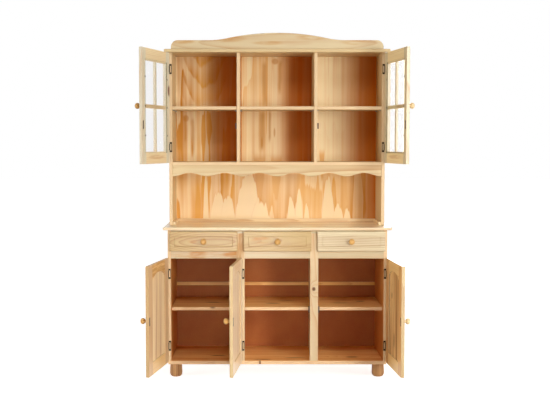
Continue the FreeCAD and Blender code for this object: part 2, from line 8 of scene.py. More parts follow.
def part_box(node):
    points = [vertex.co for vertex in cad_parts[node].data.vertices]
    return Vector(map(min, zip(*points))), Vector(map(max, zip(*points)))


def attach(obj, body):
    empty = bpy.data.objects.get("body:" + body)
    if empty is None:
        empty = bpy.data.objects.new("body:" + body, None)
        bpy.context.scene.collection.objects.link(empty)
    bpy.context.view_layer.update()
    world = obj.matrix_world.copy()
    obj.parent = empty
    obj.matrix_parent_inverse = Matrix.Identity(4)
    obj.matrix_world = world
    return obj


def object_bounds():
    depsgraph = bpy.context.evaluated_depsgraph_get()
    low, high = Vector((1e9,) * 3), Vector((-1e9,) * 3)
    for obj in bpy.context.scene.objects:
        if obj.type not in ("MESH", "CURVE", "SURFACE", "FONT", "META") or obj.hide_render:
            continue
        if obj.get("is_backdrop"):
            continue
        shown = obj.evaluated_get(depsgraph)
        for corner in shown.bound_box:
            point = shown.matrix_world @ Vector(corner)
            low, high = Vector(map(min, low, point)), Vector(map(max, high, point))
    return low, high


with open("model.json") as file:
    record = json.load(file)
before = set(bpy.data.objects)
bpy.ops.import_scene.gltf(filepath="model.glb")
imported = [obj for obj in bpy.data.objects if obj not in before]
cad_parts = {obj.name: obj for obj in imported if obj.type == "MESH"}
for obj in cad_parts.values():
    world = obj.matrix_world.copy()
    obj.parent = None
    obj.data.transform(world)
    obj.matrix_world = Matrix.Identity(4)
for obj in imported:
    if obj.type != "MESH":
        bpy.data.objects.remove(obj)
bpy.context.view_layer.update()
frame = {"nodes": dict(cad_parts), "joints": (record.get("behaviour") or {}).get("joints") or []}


# Four turned bun feet carry the base on its bottom board.
# They are solid pine, turned with the grain upright and finished with clear lacquer.
# A spigot on each foot is glued into the board above it.
def srgb(red, green, blue):
    """A colour read as screen values, as the linear colour that a shader takes."""
    linear = []
    for value in (red, green, blue):
        share = value / 255
        linear.append(share / 12.92 if share <= 0.04045 else ((share + 0.055) / 1.055) ** 2.4)
    return (*linear, 1.0)


class Measure:
    """A value that varies over a piece: one output of a node. Sums of measures read as plain sums."""

    def __init__(self, tree, socket):
        self.tree = tree
        self.socket = socket

    def into(self, socket):
        self.tree.links.new(self.socket, socket)

    def calc(self, operation, *others):
        return calc(self.tree, operation, self, *others)

    def __add__(self, other):
        return self.calc("ADD", other)

    def __sub__(self, other):
        return self.calc("SUBTRACT", other)

    def __rsub__(self, other):
        return calc(self.tree, "SUBTRACT", other, self)

    def __mul__(self, other):
        return self.calc("MULTIPLY", other)

    def __truediv__(self, other):
        return self.calc("DIVIDE", other)

    def __pow__(self, other):
        return self.calc("POWER", other)

    def __abs__(self):
        return self.calc("ABSOLUTE")

    def __gt__(self, other):
        return self.calc("GREATER_THAN", other)

    def __lt__(self, other):
        return self.calc("LESS_THAN", other)


def fill(tree, node, inputs):
    """Sets each input of a node: a plain value is set, a measure or a list of measures is linked."""
    for key, value in inputs.items():
        if not isinstance(value, (Measure, list)):
            node.inputs[key].default_value = value
            continue
        for measure in value if isinstance(value, list) else [value]:
            measure.into(node.inputs[key])


def place(tree, kind, inputs=None, **settings):
    """Adds a node to the tree and returns its outputs, by number and by name."""
    made = tree.nodes.new(kind)
    for name, value in settings.items():
        setattr(made, name, value)
    fill(tree, made, inputs or {})
    outputs = {}
    for number, socket in enumerate(made.outputs):
        outputs[number] = outputs[socket.name] = Measure(tree, socket)
    return outputs


def calc(tree, operation, *values):
    return place(tree, "ShaderNodeMath", dict(enumerate(values)), operation=operation)[0]


def vector_calc(operation, *vectors):
    return place(vectors[0].tree, "ShaderNodeVectorMath", dict(enumerate(vectors)), operation=operation)


def parts_of(vector):
    parts = place(vector.tree, "ShaderNodeSeparateXYZ", {0: vector})
    return parts[0], parts[1], parts[2]


def vector_of(tree, *parts):
    return place(tree, "ShaderNodeCombineXYZ", dict(enumerate(parts)))[0]


def blend(share, first, second):
    return place(share.tree, "ShaderNodeMix", {0: share, 6: first, 7: second}, data_type="RGBA")[2]


def clamped(value):
    return place(value.tree, "ShaderNodeClamp", {0: value})[0]


def fade(value, start, end, low=0.0, high=1.0):
    """Goes smoothly from low to high while the value goes from start to end."""
    return place(value.tree, "ShaderNodeMapRange", {0: value, 1: start, 2: end, 3: low, 4: high},
                 interpolation_type="SMOOTHSTEP")[0]


def stretched_noise(vector, stretch, seed, detail=2.0):
    """Noise that is stretched over the grain: stretch is how often it varies in each metre."""
    spread = vector_calc("MULTIPLY", vector, stretch)[0]
    return place(vector.tree, "ShaderNodeTexNoise",
                 {"Vector": spread, "W": seed, "Scale": 1.0, "Detail": detail}, noise_dimensions="4D")[0]


def drawn_for(number):
    """A draw that is the same each time for the same number: a value and a colour."""
    return place(number.tree, "ShaderNodeTexWhiteNoise", {"W": number}, noise_dimensions="1D")


def new_group(name, kind, inputs, outputs):
    """A node tree with named sockets: returns it, what it is given and where its results go."""
    group = bpy.data.node_groups.new(name, kind)
    for way, sockets in (("INPUT", inputs), ("OUTPUT", outputs)):
        for socket, socket_kind in sockets.items():
            group.interface.new_socket(name=socket, in_out=way, socket_type="NodeSocket" + socket_kind)
    return group, place(group, "NodeGroupInput"), group.nodes.new("NodeGroupOutput").inputs


# The grain: growth rings about the heart of the trunk, cut by the board's surface.
pine_grain, given, result = new_group(
    "pine_grain", "ShaderNodeTree",
    {"Vector": "Vector", "Heart": "Vector", "Ring": "Float", "Slope": "Float", "Bow": "Float",
     "Bend": "Float", "Tone": "Float", "Streaks": "Float", "Seed": "Float", "Pale": "Color",
     "Dark": "Color"},
    {"Color": "Color", "Roughness": "Float", "Height": "Float"})
wander_size = 0.030
late_wood_power = 2.2
late_wood_end = 0.88
faintest_ring = 0.25
ring_contrast = 0.75
fibre_contrast = 0.22
along, across, deep = parts_of(vector_calc("SUBTRACT", given["Vector"], given["Heart"])[0])
from_heart = (across * across + deep * deep).calc("SQRT")
bowed = along * along * given["Bow"] + (along * given["Slope"] + from_heart)
wander = stretched_noise(given["Vector"], (1.6, 13.0, 13.0), given["Seed"], 3.0)
phase = (wander * wander_size + bowed + given["Bend"]) / given["Ring"]
in_ring = phase.calc("FRACT")
late_wood = in_ring ** late_wood_power * fade(in_ring, 1.0, late_wood_end)
ring_strength = drawn_for(phase.calc("FLOOR") + given["Seed"])["Value"]
rings = late_wood * (ring_strength * (1 - faintest_ring) + faintest_ring)
broad = stretched_noise(given["Vector"], (0.9, 24.0, 24.0), given["Seed"])
fibre = stretched_noise(given["Vector"], (14.0, 620.0, 620.0), given["Seed"])
darkness = rings * ring_contrast + (broad - 0.45) * given["Streaks"]
darkness = darkness + (fibre - 0.5) * fibre_contrast + given["Tone"]
blend(clamped(darkness), given["Pale"], given["Dark"]).into(result["Color"])
(rings * -0.06 + (fibre * 0.16 + 0.30)).into(result["Roughness"])
(rings * 0.5 + fibre).into(result["Height"])

# A knot: a dark oval where a branch grew, with the rings flowing round it.
pine_knot, given, result = new_group(
    "pine_knot", "ShaderNodeTree", {"Vector": "Vector", "Centre": "Vector", "Size": "Vector"},
    {"Mask": "Float", "Bend": "Float"})
knot_bend = 0.016
knot_offset = vector_calc("SUBTRACT", given["Vector"], given["Centre"])[0]
knot_distance = vector_calc("LENGTH", vector_calc("DIVIDE", knot_offset, given["Size"])[0])["Value"]
fade(knot_distance, 1.15, 0.55).into(result["Mask"])
fade(knot_distance, 4.5, 0.6, 0.0, knot_bend).into(result["Bend"])

# A wide board glued up from narrow staves, each cut from another part of a trunk.
glued_staves, given, result = new_group(
    "glued_staves", "ShaderNodeTree", {"Vector": "Vector", "Width": "Float", "Seed": "Float"},
    {"Vector": "Vector", "Heart": "Vector", "Tone": "Float"})
stave_shift = 5.0
stave_heart_along = 2.5
stave_heart_spread = 0.12
stave_tones = 0.26
along, across, through = parts_of(given["Vector"])
place_in_row = across / given["Width"] + given["Seed"]
stave_number = place_in_row.calc("FLOOR")
in_stave = (place_in_row - (stave_number + 0.5)) * given["Width"]
draw = drawn_for(stave_number + given["Seed"] * 7.3)
drawn = place(glued_staves, "ShaderNodeSeparateColor", {0: draw["Color"]})
vector_of(glued_staves, drawn[0] * stave_shift + along, in_stave, through).into(result["Vector"])
heart_across = (drawn[1] - 0.5) * stave_heart_spread
heart_depth = drawn[2] * 0.06 + 0.012
vector_of(glued_staves, stave_heart_along, heart_across, heart_depth).into(result["Heart"])
(draw["Value"] * stave_tones - stave_tones / 2).into(result["Tone"])

pine_pale = srgb(217, 194, 147)
pine_dark = srgb(200, 142, 82)
knot_brown = srgb(100, 50, 20)
# The pale colour painted on faces that turn to the front, as painted light.
front_light_pale = srgb(234, 206, 166)
heartwood = srgb(188, 124, 34)
knot_depth = 0.03


def middle_of(node):
    low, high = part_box(node)
    return (low + high) / 2


def on_surface(tree, kind):
    """The place on the piece, or the way its surface faces."""
    return place(tree, "ShaderNodeTexCoord")[kind]


def faces(tree, way):
    """How far the surface faces a way: 1 where it faces it squarely, 0 where it stands along it."""
    return vector_calc("DOT_PRODUCT", on_surface(tree, "Normal"), way)["Value"]


def grain_vector(tree, centre, turn, order):
    """The place about a piece's middle, with the grain's way first, then across, then through."""
    local = place(tree, "ShaderNodeMapping", {"Vector": on_surface(tree, "Object"), "Location": centre,
                                              "Rotation": (0, 0, turn)}, vector_type="TEXTURE")[0]
    axes = parts_of(local)
    return vector_of(tree, *(axes["xyz".index(letter)] for letter in order))


def mark_at(vector, centre, size):
    return place(vector.tree, "ShaderNodeGroup", {"Vector": vector, "Centre": centre, "Size": size},
                 node_tree=pine_knot)


def new_material(name):
    made = bpy.data.materials.new(name)
    made.use_nodes = True
    return made, made.node_tree


def set_surface(tree, inputs):
    fill(tree, tree.nodes["Principled BSDF"], inputs)


def lacquered(tree, colour, roughness, height, gloss=0.15, bump=0.0003):
    """A clear lacquer over the colour, with the relief of the grain under it."""
    relief = place(tree, "ShaderNodeBump", {"Strength": 0.35, "Distance": bump, "Height": height})[0]
    set_surface(tree, {"Coat Weight": gloss, "Coat Roughness": 0.14,
                       "Specular IOR Level": min(0.5, 1.5 * gloss),
                       "Base Color": colour, "Roughness": roughness, "Normal": relief})


def pine(name, centre, order, seed, turn=0.0, heart=(0.0, 0.0, 0.03), ring=0.008, slope=0.02, bow=0.0,
         tone=0.0, streaks=0.7, staves=None, knots=(), stains=(), pale=pine_pale, dark=pine_dark,
         gloss=0.15, front_edge=None, aged_face=None):
    """Lacquered pine. A knot is (along, across, through, length, width).

    A stain of heartwood is written as a knot is, and adds its strength.
    A face of painted light is the way that the face looks, and the colour painted on it as light or shade."""
    made, tree = new_material(name)
    vector = grain_vector(tree, centre, turn, order)
    looks = {"Vector": vector, "Heart": heart, "Ring": ring, "Slope": slope, "Bow": bow, "Tone": tone,
             "Streaks": streaks, "Seed": seed, "Pale": pale, "Dark": dark}
    # Painted light: the face that looks the given way takes its own colour, lighter or darker as light or
    # shade falls on it.
    if aged_face:
        way, painted_pale = aged_face
        looks["Pale"] = blend(fade(faces(tree, way), 0.5, 0.9), pale, painted_pale)
    if staves:
        glued = place(tree, "ShaderNodeGroup", {"Vector": vector, "Width": staves, "Seed": seed},
                      node_tree=glued_staves)
        looks.update(Vector=glued["Vector"], Heart=glued["Heart"], Tone=glued["Tone"] + tone)
    marks = []
    for along, across, through, length, width in knots:
        knot = mark_at(vector, (along, across, through), (length, width, knot_depth))
        marks.append(knot["Mask"])
        looks["Bend"] = knot["Bend"] + looks.get("Bend", 0.0)
    grain = place(tree, "ShaderNodeGroup", looks, node_tree=pine_grain)
    colour = grain["Color"]
    for along, across, through, length, width, strength in stains:
        patch = mark_at(vector, (along, across, through), (length, width, knot_depth))
        ragged = fade(stretched_noise(vector, (12.0, 90.0, 90.0), seed, 3.0), 0.3, 0.62)
        colour = blend(patch["Mask"] * ragged * strength, colour, heartwood)
    # Painted light: faces that turn to the front take their own colour.
    if front_edge:
        to_front = fade(parts_of(on_surface(tree, "Normal"))[1], -0.5, -0.9, 0.0, 0.8)
        colour = blend(to_front, colour, front_edge)
    for mark in marks:
        colour = blend(mark * 0.9, colour, knot_brown)
    lacquered(tree, colour, grain["Roughness"], grain["Height"], gloss)
    return made


def dress(node, material):
    slots = frame["nodes"][node].data.materials
    slots.clear()
    slots.append(material)


def dress_in_pine(node, name, order, seed, **looks):
    """Dresses a node in pine whose grain is set out from the node's middle."""
    dress(node, pine(name, middle_of(node), order, seed, **looks))


foot_pale = srgb(202, 154, 98)
foot_dark = srgb(112, 58, 22)
dress_in_pine("bun_feet", "foot_pine", "zxy", 1.7, heart=(0.0, 0.0, 0.0), ring=0.011, streaks=2.2, tone=0.1,
              pale=foot_pale, dark=foot_dark)


# The base carcass: a bottom board on the feet, two sides, two dividers with broad front stiles,
# and the rails under the drawers. All of it is pine board, dowelled and glued.
# The faces inside are painted a warm tan as painted shade, and the front edges are painted pale as painted
# light.
bottom_knots = [(-0.33, -0.06, 0.0, 0.05, 0.010), (-0.08, -0.16, 0.0, 0.06, 0.008),
                (0.10, -0.12, 0.0, 0.07, 0.007), (0.42, -0.10, 0.0, 0.04, 0.012),
                (-0.095, -0.2, -0.008, 0.006, 0.012)]
inside_gloss = 0.03
# The boards inside the base are painted a brighter, warmer copy of the pine, as painted light and shade in
# the bays.
inside_board = {"gloss": inside_gloss, "pale": srgb(255, 204, 132), "dark": srgb(222, 136, 60),
                "front_edge": front_light_pale}
inside_shade = srgb(222, 148, 76)
dress_in_pine("base_bottom", "bottom_pine", "xyz", 3.3, staves=0.088, streaks=1.7, knots=bottom_knots,
              **inside_board)
# The inner face of each side takes the painted shade, and its front edge the painted light.
for side, seed, inward in (("left", 5.1, 1.0), ("right", 8.6, -1.0)):
    dress_in_pine("base_side_" + side, "side_pine_" + side, "zyx", seed, staves=0.082, gloss=inside_gloss,
                  front_edge=front_light_pale, aged_face=((inward, 0.0, 0.0), inside_shade))

stile_knot = (0.046, 0.200, -0.19, 0.013, 0.011)
# A darker orange patch on the left stile, beside the drawers.
left_stile_patch = (0.29, -0.205, -0.19, 0.11, 0.030, 0.6)
stile_cream = srgb(226, 206, 168)
dress_in_pine("base_dividers", "divider_pine", "zxy", 2.9, heart=(0.0, 0.05, 0.2), ring=0.009, streaks=0.55,
              knots=[stile_knot], stains=[left_stile_patch], gloss=inside_gloss, pale=stile_cream)

rail_cream = srgb(206, 192, 156)
half_rail = 0.022
rail_middle = middle_of("drawer_rails")
rail_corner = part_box("drawer_rails")[0]
rail_face = rail_corner.y - rail_middle.y
rail_height = rail_corner.z + half_rail - rail_middle.z
rail_stains = [(-0.44, rail_height, rail_face, 0.06, 0.026, 0.8),
               (-0.25, rail_height + 0.004, rail_face, 0.05, 0.026, 0.9),
               (-0.38, rail_height, rail_face, 0.19, 0.05, 0.35)]
dress_in_pine("drawer_rails", "rail_pine", "xzy", 6.4, heart=(0.0, 0.1, -0.1), ring=0.007, streaks=0.5,
              stains=rail_stains, pale=rail_cream)


# Three loose shelves lie in the bays of the base.
# They are glued up from pine staves, with a few dark knots left in.
# Each rests on steel pins that are pushed into the sides and dividers.
shelf_knots = [(-0.36, -0.02, 0.0, 0.055, 0.010), (-0.356, -0.18, 0.028, 0.024, 0.014),
               (-0.02, -0.05, 0.0, 0.05, 0.009), (0.05, 0.03, 0.0, 0.06, 0.008),
               (0.36, -0.04, 0.0, 0.05, 0.008), (0.48, 0.02, 0.0, 0.03, 0.012)]
# The shelves take the painted light and shade of the boards inside the base.
dress_in_pine("base_shelves", "base_shelf_pine", "xyz", 4.2, staves=0.075, streaks=1.7, knots=shelf_knots,
              **inside_board)


def even(scale):
    return (scale, scale, scale)


def metal(name, colour, roughness, mottled):
    """A plain metal with faint mottling from handling."""
    made, tree = new_material(name)
    cloud = stretched_noise(on_surface(tree, "Object"), even(260.0), 0.4, 4.0)
    worn = tuple(min(1.0, channel * 1.7) for channel in colour[:3]) + (1.0,)
    set_surface(tree, {"Metallic": 1.0,
                       "Base Color": blend(fade(cloud, 0.55, 0.75, 0.0, mottled), colour, worn),
                       "Roughness": cloud * 0.25 + (roughness - 0.12)})
    return made


dress("shelf_pins", metal("pin_steel", srgb(168, 166, 160), 0.32, 0.3))


# The base is closed at the back by two sheets of brown hardboard that meet behind a pine batten.
# The sheets are pressed wood fibre, smooth and dark on the inside and paler behind.
# They are pinned to the carcass, and the batten is glued over their joint.
hardboard_brown = srgb(184, 110, 57)
hardboard_dark = srgb(164, 91, 44)
hardboard_rear = srgb(170, 122, 82)
hardboard_rear_dark = srgb(146, 100, 66)
hardboard, tree = new_material("hardboard")
fibres = stretched_noise(on_surface(tree, "Object"), even(420.0), 2.0, 5.0)
clouds = stretched_noise(on_surface(tree, "Object"), even(7.0), 3.0, 3.0)
pressed = fade(clouds * 0.5 + fibres * 0.5, 0.3, 0.7)
rear_face = parts_of(on_surface(tree, "Normal"))[1] > 0.5
sheet_colour = blend(rear_face, blend(pressed, hardboard_dark, hardboard_brown),
                     blend(pressed, hardboard_rear_dark, hardboard_rear))
relief = place(tree, "ShaderNodeBump", {"Strength": 0.25, "Distance": 0.0002, "Height": fibres})[0]
set_surface(tree, {"Base Color": sheet_colour, "Specular IOR Level": 0.12, "Roughness": fibres * 0.2 + 0.38,
                   "Normal": relief})
for node in ("base_back_lower", "base_back_upper"):
    dress(node, hardboard)
batten_pale = srgb(248, 196, 108)
batten_dark = srgb(214, 146, 66)
dress_in_pine("base_back_batten", "batten_pine", "xzy", 9.1, tone=0.15, pale=batten_pale, dark=batten_dark)


# Runners on the sides and dividers carry the three drawers.
# They are plain pine strips, glued and screwed in place, with a guide on those at the dividers.
dress_in_pine("drawer_runners", "runner_pine", "yzx", 10.4, ring=0.006)


# The countertop: pine staves glued to one board with a rounded front and ends.
# It is screwed down from below and is the glossiest surface of the piece.
# The top is painted paler than the pine and the front takes its own colour, as painted light.
counter_pale = srgb(255, 243, 206)
counter_dark = srgb(212, 146, 78)
counter_front_light = srgb(230, 199, 157)
dress_in_pine("countertop", "counter_pine", "xyz", 12.7, staves=0.105, gloss=0.4, streaks=3.0, tone=-0.16,
              pale=counter_pale, dark=counter_dark, front_edge=counter_front_light)


# The hutch: two sides, two dividers, a full-width bottom shelf, three loose shelves and a top board.
# All are pine, most of them glued up from staves, with cleats along the foot of the niche.
# The hutch stands on the countertop, flush with its back.
hutch_boards = [("hutch_side_left", "hutch_side_pine_left", "zyx", 14.2),
                ("hutch_side_right", "hutch_side_pine_right", "zyx", 15.8),
                ("hutch_dividers", "hutch_divider_pine", "zyx", 16.3),
                ("hutch_bottom_shelf", "hutch_bottom_pine", "xyz", 17.9),
                ("hutch_shelves", "hutch_shelf_pine", "xyz", 18.4)]
# Their front edges are painted pale, as painted light.
for node, name, order, seed in hutch_boards:
    dress_in_pine(node, name, order, seed, staves=0.09, gloss=0.06, front_edge=front_light_pale)
dress_in_pine("hutch_top", "hutch_top_pine", "xyz", 19.5, staves=0.1)
# The cleats are painted paler than the pine, as painted light in the shade under the niche.
dress_in_pine("hutch_cleats", "cleat_pine", "xzy", 20.6, pale=srgb(250, 228, 184))


# The back of the hutch is one sheet of plywood, let in between the sides and pinned.
# Its face is rotary-cut pine veneer, jointed in upright strips and lacquered.
# The cut runs along the rings, so the figure is bold: cream tongues and flames on orange.
veneer_figure, given, result = new_group(
    "veneer_figure", "ShaderNodeTree", {"Vector": "Vector", "Bands": "Float", "Seed": "Float"},
    {"Figure": "Float", "Fibre": "Float"})
slow = stretched_noise(given["Vector"], (0.75, 3.4, 0.0), given["Seed"], 1.0)
waves = stretched_noise(given["Vector"], (1.7, 17.0, 0.0), given["Seed"])
teeth = stretched_noise(given["Vector"], (5.0, 75.0, 0.0), given["Seed"])
ring_surface = teeth * 0.05 + (waves * 0.38 + slow)
in_band = (ring_surface * given["Bands"]).calc("FRACT")
(in_band ** 1.3 * fade(in_band, 1.0, 0.94)).into(result["Figure"])
stretched_noise(given["Vector"], (9.0, 380.0, 0.0), given["Seed"], 3.0).into(result["Fibre"])

# A tongue of pale early wood rises to a ragged tip; with a negative rise, a flame hangs down to one.
veneer_tongue, given, result = new_group(
    "veneer_tongue", "ShaderNodeTree",
    {"Vector": "Vector", "Middle": "Float", "Half Width": "Float", "Tip": "Float", "Rise": "Float",
     "Reach": "Float"},
    {"Mask": "Float", "Rim": "Float"})
ragged_size = 0.11
up, over, _ = parts_of(given["Vector"])
aside = (over - given["Middle"]) / given["Half Width"]
under_edge = given["Tip"] - aside * aside * given["Rise"] - up
ragged = stretched_noise(given["Vector"], (4.0, 70.0, 0.0), 4.4, 3.0)
inside = (ragged - 0.5) * ragged_size + under_edge * given["Rise"].calc("SIGN")
near_tip = fade(abs(up - given["Tip"]) / given["Reach"], 1.0, 0.75)
(fade(inside, -0.004, 0.010) * near_tip).into(result["Mask"])
(fade(abs(inside), 0.016, 0.002) * near_tip).into(result["Rim"])

# A dark streak wanders up the veneer between two heights.
veneer_streak, given, result = new_group(
    "veneer_streak", "ShaderNodeTree",
    {"Vector": "Vector", "Middle": "Float", "Half Width": "Float", "Low": "Float", "High": "Float"},
    {"Mask": "Float"})
sway_size = 0.03
up, over, _ = parts_of(given["Vector"])
sway = stretched_noise(given["Vector"], (5.0, 4.0, 0.0), 2.6)
aside = (sway - 0.5) * sway_size + (over - given["Middle"])
share_up = (up - given["Low"]) / (given["High"] - given["Low"])
window = fade(share_up, 0.0, 0.25) * fade(share_up, 1.0, 0.85)
(fade(abs(aside) / given["Half Width"], 1.0, 0.0) * window).into(result["Mask"])

veneer_cream = srgb(255, 236, 194)
veneer_orange = srgb(234, 174, 90)
veneer_deep = srgb(206, 134, 48)
# The dark brown of the painted shade at the right of each bay.
veneer_painted_shade = srgb(208, 107, 22)
veneer_tan = srgb(202, 134, 52)
back_middle = middle_of("hutch_back")
plywood, tree = new_material("plywood")
vector = grain_vector(tree, back_middle, 0.0, "zxy")
up, over, _ = parts_of(vector)


def on_back(x):
    return x - back_middle.x


def up_back(height):
    return height - back_middle.z


def between(share, first, second):
    return place(share.tree, "ShaderNodeMix", {0: share, 2: first, 3: second}, data_type="FLOAT")[0]


# Each strip has its own figure. The left ones are the warmest, and the right ones are pale.
strip_seams = (-0.4375, -0.2415, -0.210, 0.2777)
strip_number = 0.0
for seam in strip_seams:
    strip_number = (over > on_back(seam)) + strip_number
strip_seed = strip_number * 3.7 + 1.3
pale_strips = over > on_back(strip_seams[2])
last_strip = over > on_back(strip_seams[3])

# An arch of nested rings shows in the upper left bay.
arch_over = -0.414
arch_tip = 1.545
arch_width = 95.0
arch_height = 8.0
arch_x = over - on_back(arch_over)
arch_z = up - up_back(arch_tip)
arch_rings = arch_x * arch_x * arch_width - arch_z * arch_height
arch_rings = stretched_noise(vector, (5.0, 22.0, 0.0), 6.0) * 0.9 + arch_rings
arch_band = arch_rings.calc("FRACT")
arch_flame = arch_band ** 1.6 * fade(arch_band, 1.0, 0.8)
arch_window = fade(abs(arch_x), 0.15, 0.09) * fade(arch_z, -0.06, 0.03)

# How warm the face is, from cream at 0 to orange at 1, over the niche and above it.
figure = place(tree, "ShaderNodeGroup", {"Bands": 5.5, "Vector": vector, "Seed": strip_seed},
               node_tree=veneer_figure)
inner_face = parts_of(on_surface(tree, "Normal"))[1] < 0.0
above_niche = fade(up, up_back(1.16), up_back(1.18)).calc("MAXIMUM", 1.0 - inner_face)
orange_strips = (1.0 - pale_strips) * above_niche
straight_grain = fade(over, on_back(0.20), on_back(0.23)) * above_niche
stripes = stretched_noise(vector, (0.5, 58.0, 0.0), strip_seed)
warm = between(arch_window, figure["Figure"], arch_flame * 0.6 + 0.3)
warm = (figure["Fibre"] - 0.5) * 0.3 + warm
warm = warm * (pale_strips * -0.52 + 1.0)
warm = warm + (orange_strips * 0.12 + 0.12)
warm = warm + (1.0 - above_niche) * (last_strip * 0.18 + 0.22)
warm = warm * (straight_grain * -0.75 + 1.0)
warm = (stripes - 0.52) * (above_niche * 0.75 + 0.70) + warm

# Each tongue and flame: over from the middle, half its width, its tip's height, its rise and its reach.
tongues = [(-0.338, 0.045, 1.003, 0.13, 0.3), (-0.280, 0.040, 1.000, 0.13, 0.3),
           (-0.160, 0.050, 1.120, 0.10, 0.4), (-0.090, 0.060, 0.950, 0.10, 0.3),
           (-0.410, 0.020, 1.120, 0.40, 0.4), (0.090, 0.020, 0.990, 0.10, 0.3),
           (0.135, 0.020, 1.030, 0.14, 0.3), (0.180, 0.015, 0.940, 0.08, 0.3),
           (0.305, 0.030, 1.100, 0.15, 0.4), (0.365, 0.030, 0.940, 0.08, 0.3),
           (0.414, 0.025, 0.905, 0.06, 0.3), (-0.020, 0.010, 1.720, 0.80, 0.5)]
flames = [(-0.095, 0.025, 0.963, -0.13, 0.28), (0.001, 0.022, 0.955, -0.11, 0.28),
          (0.268, 0.012, 1.066, -0.10, 0.2), (-0.055, 0.010, 1.330, -0.80, 0.6)]
tongue_warmth = 0.14
flame_warmth = 0.74
rim_warmth = 0.08
for features, warmth in ((tongues, tongue_warmth), (flames, flame_warmth)):
    for middle, half_width, tip, rise, reach in features:
        feature = place(tree, "ShaderNodeGroup", {
            "Vector": vector, "Middle": on_back(middle), "Half Width": half_width, "Tip": up_back(tip),
            "Rise": rise, "Reach": reach}, node_tree=veneer_tongue)
        warm = feature["Rim"] * rim_warmth + between(feature["Mask"], warm, warmth)
clouding = stretched_noise(vector, (0.6, 6.0, 0.0), 9.0)
orange = blend(fade(clouding, 0.4, 0.7), veneer_orange, veneer_deep)
colour = blend(clamped(warm), veneer_cream, orange)

# Broad bands of painted shade, deep orange turning to dark brown, at the right of each bay and of the
# niche's right end: where each starts, is full and ends, and the height it starts at.
painted_shade_bands = [(-0.480, -0.250, -0.205, 1.17), (-0.060, 0.150, 0.215, 1.17), (0.300, 0.560, 0.620, 1.17),
               (0.470, 0.600, 0.620, 0.80)]
band_edge = 0.01
band_foot = 0.02
painted_shade_streaks = fade(stretched_noise(vector, (0.8, 30.0, 0.0), 7.0), 0.25, 0.65, 0.60, 0.95)
for band_start, band_full, band_end, band_low in painted_shade_bands:
    entering = fade(over, on_back(band_start), on_back(band_full))
    leaving = fade(over, on_back(band_end), on_back(band_end + band_edge), 1.0, 0.0)
    above = fade(up, up_back(band_low), up_back(band_low + band_foot))
    banded = entering * leaving * above * inner_face
    colour = blend(banded * 0.7, colour, veneer_deep)
    colour = blend(banded ** 1.6 * painted_shade_streaks, colour, veneer_painted_shade)

# Each dark streak: over from the middle, half its width, and the heights it runs between.
dark_streaks = [(-0.068, 0.024, 1.48, 1.775), (-0.085, 0.028, 1.22, 1.49), (-0.040, 0.012, 1.28, 1.49),
                (-0.488, 0.020, 1.19, 1.45), (-0.530, 0.012, 1.28, 1.46), (0.020, 0.016, 1.56, 1.78)]
for middle, half_width, streak_low, streak_high in dark_streaks:
    streak = place(tree, "ShaderNodeGroup", {
        "Vector": vector, "Middle": on_back(middle), "Half Width": half_width,
        "Low": up_back(streak_low), "High": up_back(streak_high)}, node_tree=veneer_streak)
    colour = blend(streak["Mask"] * inner_face * 0.6, colour, veneer_tan)

# Each knot of the veneer: its height, over from the middle, and its length and width.
veneer_knots = [(1.763, -0.006, 0.020, 0.022), (1.434, -0.525, 0.022, 0.020), (1.352, -0.009, 0.030, 0.006),
                (1.290, -0.082, 0.040, 0.006)]
veneer_knot_depth = 0.05
for height, middle, length, width in veneer_knots:
    knot = mark_at(vector, (up_back(height), on_back(middle), 0.0), (length, width, veneer_knot_depth))
    colour = blend(knot["Mask"] * 0.55, colour, veneer_deep)
lacquered(tree, colour, figure["Fibre"] * 0.15 + 0.36, figure["Fibre"], gloss=0.03, bump=0.0002)
dress("hutch_back", plywood)


# The crown stands on the top board: one sawn board whose upper edge rises in a double curve.
# Its flat-sawn pine face shows long pointed rings near the middle, and patches of heartwood.
# It is dowelled to the top board, near its front.
figured_dark = srgb(178, 112, 52)
crown_pale = srgb(216, 198, 158)
crown_flames = [(-0.52, 0.0, 0.0, 0.08, 0.020, 0.55), (-0.29, 0.012, 0.0, 0.13, 0.022, 0.55),
                (-0.05, -0.012, 0.0, 0.10, 0.014, 0.40), (0.20, 0.022, 0.0, 0.11, 0.020, 0.50),
                (0.43, -0.006, 0.0, 0.09, 0.018, 0.45)]
dress_in_pine("hutch_crown", "crown_pine", "xzy", 21.3, heart=(0.08, -0.01, 0.02), ring=0.024, bow=0.12,
              slope=0.0, streaks=1.3, stains=crown_flames, pale=crown_pale, dark=figured_dark)


# The valance hangs under the hutch's bottom shelf, over the niche.
# It is one pine board, glued between the sides and sawn along its lower edge to shallow scallops.
valance_pale = srgb(220, 199, 155)
dress_in_pine("hutch_valance", "valance_pine", "xzy", 22.8, heart=(-0.9, 0.02, 0.02), ring=0.018, slope=0.03,
              streaks=0.9, pale=valance_pale, dark=figured_dark)


# Three drawers: a lipped pine front with a routed line, a thin-sided box and a turned knob.
# The left front is cut through the heart of a trunk, so that its rings close to a pointed oval.
# The front is screwed to the box from inside, and the knob to the front.
drawer_looks = {
    "left": {"heart": (0.06, 0.0, 0.012), "bow": 0.55, "slope": 0.0, "pale": srgb(205, 182, 130),
             "stains": [(-0.06, 0.0, 0.0, 0.03, 0.012, 0.4)]},
    "middle": {"heart": (-0.14, 0.0, 0.02), "slope": 0.10, "pale": srgb(199, 173, 122),
               "stains": [(-0.09, 0.011, 0.0, 0.06, 0.026, 0.6)]},
    "right": {"heart": (0.0, 0.25, 0.05), "slope": 0.03, "pale": srgb(222, 209, 173)}}
drawer_dark = srgb(152, 88, 34)
turned = {"heart": (0.0, 0.02, 0.01), "ring": 0.004}
